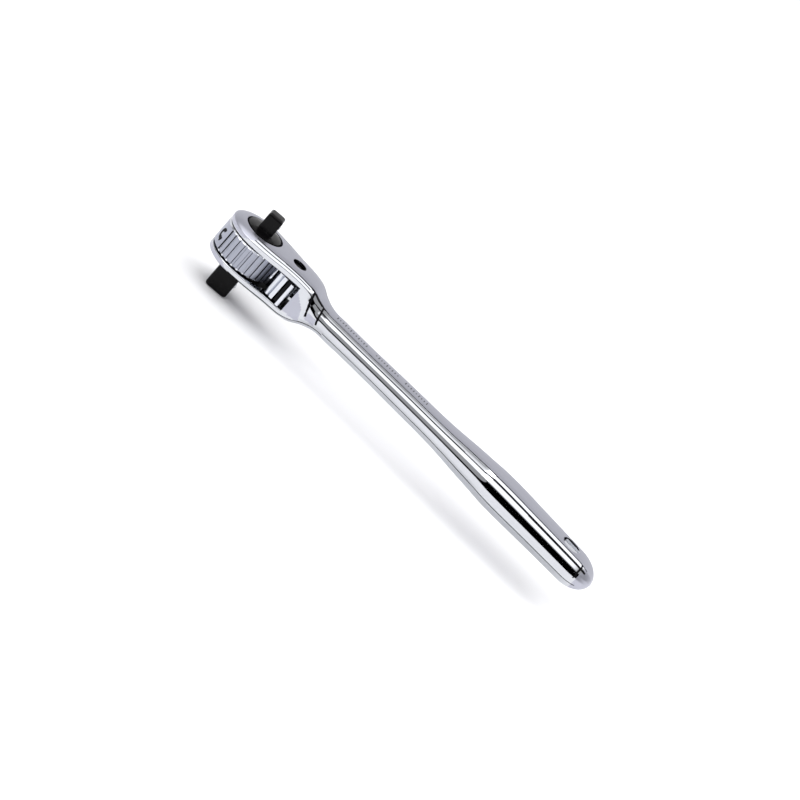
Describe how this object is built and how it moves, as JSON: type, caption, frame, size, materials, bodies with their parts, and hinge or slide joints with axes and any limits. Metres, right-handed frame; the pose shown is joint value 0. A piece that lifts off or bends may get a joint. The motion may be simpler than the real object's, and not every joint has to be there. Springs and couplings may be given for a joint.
{
  "type": "ratchet wrench",
  "caption": "Dual-drive ratchet wrench with a forked head, an open fluted reversing ring, a square drive on each side and a hanging hole in the grip.",
  "frame": {"origin": "centre of the large square drive's end face", "axes": "+Z along the spindle from the large square to the small square, +X along the handle from the spindle to the tail"},
  "size_m": [0.1904, 0.0261, 0.0377],
  "materials": {
    "polished_chrome": "mirror polished sides with satin top and bottom faces",
    "satin_chrome": "satin chrome with bright edges",
    "black_oxide": "black oxide, lightly oiled",
    "spring_steel": "drawn wire and rolled strip",
    "bearing_steel": "ground and polished"
  },
  "bodies": {
    "handle": {"handle_forging": "polished_chrome", "pawl_pivot_pin": "black_oxide", "lower_thrust_washer": "spring_steel", "upper_thrust_washer": "spring_steel", "wave_spring": "spring_steel", "detent_spring": "spring_steel"},
    "spindle": {"drive_spindle": "black_oxide", "ratchet_wheel": "black_oxide", "spindle_retaining_ring": "spring_steel", "large_tang_spring": "spring_steel", "small_tang_spring": "spring_steel"},
    "ring": {"reversing_ring": "satin_chrome", "left_plunger_spring": "spring_steel", "right_plunger_spring": "spring_steel"},
    "pawl": {"pawl": "satin_chrome"},
    "left_plunger": {"left_plunger": "bearing_steel"},
    "right_plunger": {"right_plunger": "bearing_steel"},
    "detent_ball": {"detent_ball": "bearing_steel"},
    "large_tang_ball": {"large_tang_ball": "bearing_steel"},
    "small_tang_ball": {"small_tang_ball": "bearing_steel"}
  },
  "joints": [
    {"name": "drive_spin", "type": "hinge", "parent": "handle", "child": "spindle", "pos_m": [0, 0, 0], "axis": [0, 0, 1], "continuous": true},
    {"name": "ring_turn", "type": "hinge", "parent": "handle", "child": "ring", "pos_m": [0, 0, 0], "axis": [0, 0, 1], "range_deg": [-21, 0]},
    {"name": "pawl_rock", "type": "hinge", "parent": "handle", "child": "pawl", "pos_m": [0.0181, 0, 0], "axis": [0, 0, 1], "range_deg": [0, 10]},
    {"name": "left_plunger_slide", "type": "slide", "parent": "ring", "child": "left_plunger", "axis": [-0.729, 0.6845, 0], "range_m": [0, 0.0005], "stiffness_N_per_m": 100, "springref_m": -0.0005, "deforming": ["left_plunger_spring"]},
    {"name": "right_plunger_slide", "type": "slide", "parent": "ring", "child": "right_plunger", "axis": [-0.4352, -0.9003, 0], "range_m": [0, 0.0005], "stiffness_N_per_m": 100, "springref_m": -0.0005, "deforming": ["right_plunger_spring"]},
    {"name": "detent_ball_slide", "type": "slide", "parent": "handle", "child": "detent_ball", "axis": [1, 0, 0], "range_m": [0, 0.0005], "stiffness_N_per_m": 300, "springref_m": -0.0005, "deforming": ["detent_spring"]},
    {"name": "large_tang_ball_press", "type": "slide", "parent": "spindle", "child": "large_tang_ball", "axis": [-0.9848, -0.1736, 0], "range_m": [0, 0.0006], "stiffness_N_per_m": 400, "springref_m": -0.0005, "deforming": ["large_tang_spring"]},
    {"name": "small_tang_ball_press", "type": "slide", "parent": "spindle", "child": "small_tang_ball", "axis": [-0.9848, -0.1736, 0], "range_m": [0, 0.0004], "stiffness_N_per_m": 300, "springref_m": -0.0005, "deforming": ["small_tang_spring"]}
  ],
  "couplings": [
    {"joint": "pawl_rock", "follows": "ring_turn", "ratio": -0.47619}
  ]
}
